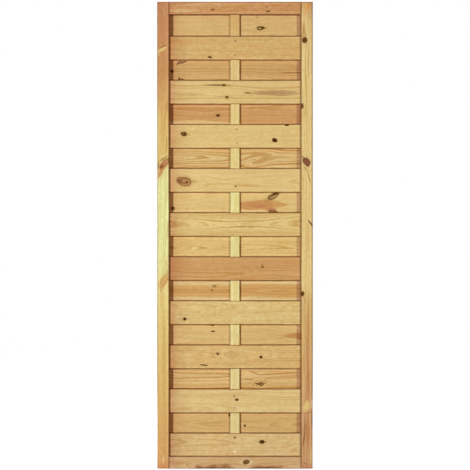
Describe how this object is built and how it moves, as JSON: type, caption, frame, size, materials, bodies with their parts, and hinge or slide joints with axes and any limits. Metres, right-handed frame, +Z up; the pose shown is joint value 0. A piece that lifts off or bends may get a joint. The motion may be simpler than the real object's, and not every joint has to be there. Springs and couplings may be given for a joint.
{
  "type": "privacy fence panel",
  "caption": "Narrow upright softwood fence panel: a grooved frame holds two lapping layers of horizontal slats, stapled to a middle batten so that nothing shows through.",
  "frame": {"origin": "middle of the panel's bottom edge, at half its depth", "axes": "+Z up along the stiles, +X along the slats to the right, +Y from the front to the back"},
  "size_m": [0.6, 0.045, 1.8],
  "materials": {
    "frame_wood": "planed, untreated look",
    "slat_wood": "planed, untreated look",
    "batten_wood": "planed, untreated look",
    "fastener_steel": "dulled zinc plating"
  },
  "bodies": {
    "root": {"left_stile": "frame_wood", "right_stile": "frame_wood", "top_rail": "frame_wood", "bottom_rail": "frame_wood", "centre_batten": "batten_wood", "left_end_batten": "batten_wood", "right_end_batten": "batten_wood", "back_slat_01": "slat_wood", "back_slat_02": "slat_wood", "back_slat_03": "slat_wood", "back_slat_04": "slat_wood", "back_slat_05": "slat_wood", "back_slat_06": "slat_wood", "back_slat_07": "slat_wood", "back_slat_08": "slat_wood", "back_slat_09": "slat_wood", "back_slat_10": "slat_wood", "front_slat_01": "slat_wood", "front_slat_02": "slat_wood", "front_slat_03": "slat_wood", "front_slat_04": "slat_wood", "front_slat_05": "slat_wood", "front_slat_06": "slat_wood", "front_slat_07": "slat_wood", "front_slat_08": "slat_wood", "front_slat_09": "slat_wood", "front_slat_10": "slat_wood", "front_staples": "fastener_steel", "back_staples": "fastener_steel", "frame_screws": "fastener_steel"}
  },
  "joints": []
}
